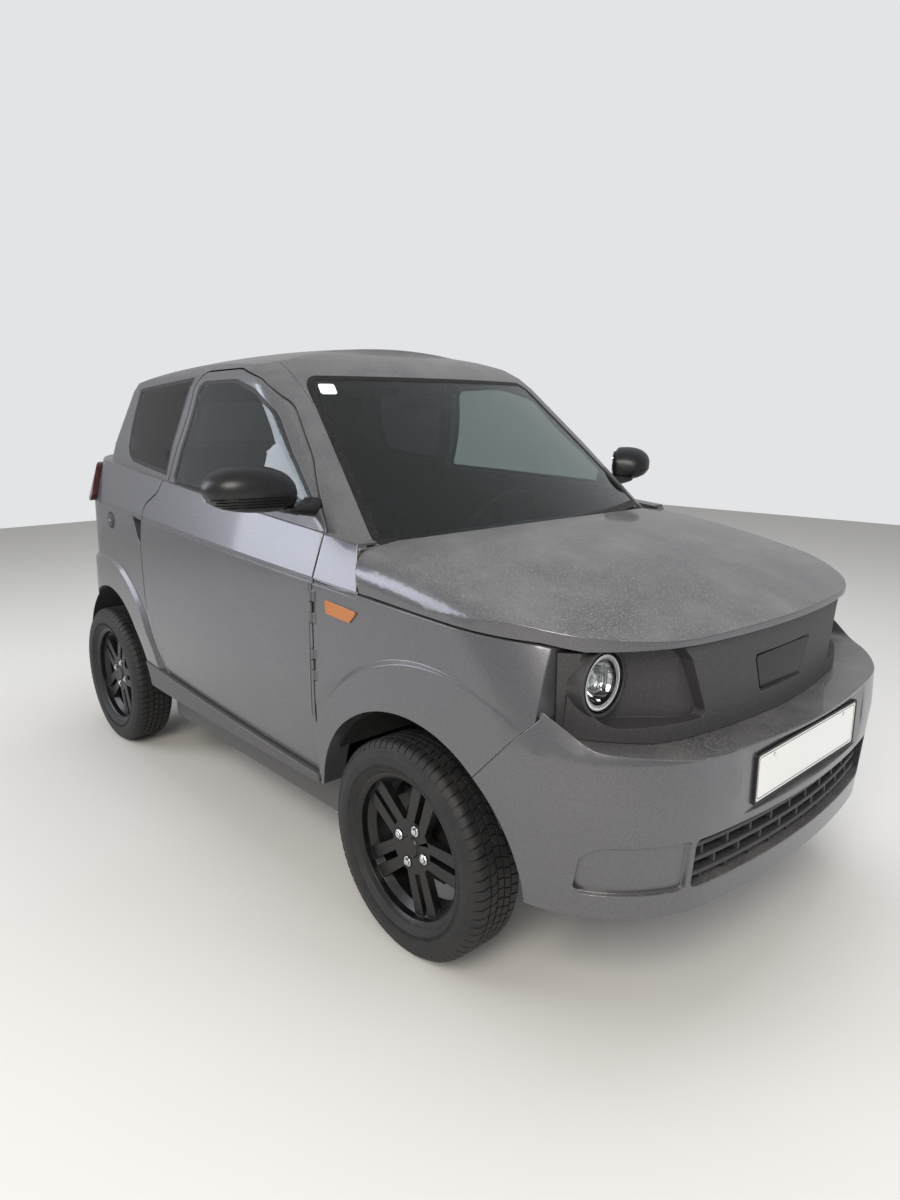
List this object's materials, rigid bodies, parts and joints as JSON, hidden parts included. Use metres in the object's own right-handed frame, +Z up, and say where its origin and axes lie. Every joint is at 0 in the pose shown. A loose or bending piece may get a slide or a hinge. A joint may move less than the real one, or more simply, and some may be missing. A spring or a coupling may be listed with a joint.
{
  "type": "microcar",
  "caption": "Compact light quadricycle with a rounded cabin, side doors, an opening bonnet and tailgate, steered front wheels and twin-spoke rims.",
  "frame": {"origin": "middle of the car on the ground plane that the tyres stand on", "axes": "+X towards the nose, +Y to the car's left, +Z up"},
  "size_m": [2.9793, 1.9194, 1.578],
  "materials": {
    "body_paint": "graphite metallic paint with dust",
    "clear_glass": "clear glass",
    "dark_glass": "dark tinted glass",
    "dark_plastic": "black grained plastic",
    "sill_plastic": "grey plastic",
    "lamp_lens": "clear lens",
    "red_lens": "red lens",
    "amber_lens": "amber lens",
    "plate_white": "blank white plate",
    "seat_fabric": "woven seat cloth",
    "floor_metal": "satin black",
    "black_steel": "satin black chassis paint",
    "rim_black": "satin black, dusty",
    "tyre_rubber": "dusty tread"
  },
  "bodies": {
    "body": {"floor_pan": "floor_metal", "sills": "sill_plastic", "roof": "body_paint", "windscreen": "clear_glass", "quarter_glass": "dark_glass", "scuttle": "dark_plastic", "dashboard": "dark_plastic", "seats": "seat_fabric", "inner_mirror": "dark_plastic", "front_bumper": "body_paint", "lower_grille": "dark_plastic", "lamp_panel": "dark_plastic", "headlamps": "lamp_lens", "front_plate": "plate_white", "rear_bumper": "body_paint", "tail_lamps": "red_lens", "side_markers": "amber_lens", "engine_block": "black_steel", "front_subframe": "black_steel", "rear_axle": "black_steel", "arch_liners": "dark_plastic", "wiper": "dark_plastic", "body_side_right": "body_paint", "body_side_left": "body_paint", "fender_right": "body_paint", "fender_left": "body_paint"},
    "bonnet": {"bonnet": "body_paint"},
    "tailgate": {"tailgate": "body_paint", "tailgate_glass": "dark_glass"},
    "steering_wheel": {"steering_wheel": "dark_plastic"},
    "door_right": {"door_right": "body_paint", "door_glass_right": "clear_glass", "mirror_right": "dark_plastic"},
    "knuckle_right": {"knuckle_right": "black_steel"},
    "door_left": {"door_left": "body_paint", "door_glass_left": "clear_glass", "mirror_left": "dark_plastic"},
    "knuckle_left": {"knuckle_left": "black_steel"},
    "wheel_front_right": {"rim_front_right": "rim_black", "tyre_front_right": "tyre_rubber"},
    "wheel_front_left": {"rim_front_left": "rim_black", "tyre_front_left": "tyre_rubber"},
    "wheel_rear_right": {"rim_rear_right": "rim_black", "tyre_rear_right": "tyre_rubber"},
    "wheel_rear_left": {"rim_rear_left": "rim_black", "tyre_rear_left": "tyre_rubber"}
  },
  "joints": [
    {"name": "door_right_hinge", "type": "hinge", "parent": "body", "child": "door_right", "pos_m": [0.4375, -0.73479, 0.7], "axis": [0, 0, 1], "range_deg": [0, 65]},
    {"name": "door_left_hinge", "type": "hinge", "parent": "body", "child": "door_left", "pos_m": [0.4375, 0.73479, 0.7], "axis": [0, 0, -1], "range_deg": [0, 65]},
    {"name": "bonnet_hinge", "type": "hinge", "parent": "body", "child": "bonnet", "pos_m": [0.5865, 0, 1.008], "axis": [0, -1, 0], "range_deg": [0, 55]},
    {"name": "tailgate_hinge", "type": "hinge", "parent": "body", "child": "tailgate", "pos_m": [-1.0125, 0, 1.534], "axis": [0, 1, 0], "range_deg": [0, 80]},
    {"name": "steer_right", "type": "hinge", "parent": "body", "child": "knuckle_right", "pos_m": [0.805, -0.59, 0.283], "axis": [0, 0, 1], "range_deg": [-30, 30]},
    {"name": "steer_left", "type": "hinge", "parent": "body", "child": "knuckle_left", "pos_m": [0.805, 0.59, 0.283], "axis": [0, 0, 1], "range_deg": [-30, 30]},
    {"name": "steering_turn", "type": "hinge", "parent": "body", "child": "steering_wheel", "pos_m": [0.095, 0.33, 0.905], "axis": [-0.8988, 0, 0.4384], "range_deg": [-450, 450]},
    {"name": "wheel_front_right_spin", "type": "hinge", "parent": "knuckle_right", "child": "wheel_front_right", "pos_m": [0.805, -0.6675, 0.283], "axis": [0, 1, 0], "continuous": true},
    {"name": "wheel_front_left_spin", "type": "hinge", "parent": "knuckle_left", "child": "wheel_front_left", "pos_m": [0.805, 0.6675, 0.283], "axis": [0, 1, 0], "continuous": true},
    {"name": "wheel_rear_right_spin", "type": "hinge", "parent": "body", "child": "wheel_rear_right", "pos_m": [-1.125, -0.6675, 0.283], "axis": [0, 1, 0], "continuous": true},
    {"name": "wheel_rear_left_spin", "type": "hinge", "parent": "body", "child": "wheel_rear_left", "pos_m": [-1.125, 0.6675, 0.283], "axis": [0, 1, 0], "continuous": true}
  ],
  "couplings": [
    {"joint": "steer_left", "follows": "steer_right", "ratio": 1},
    {"joint": "steering_turn", "follows": "steer_right", "ratio": 15}
  ]
}
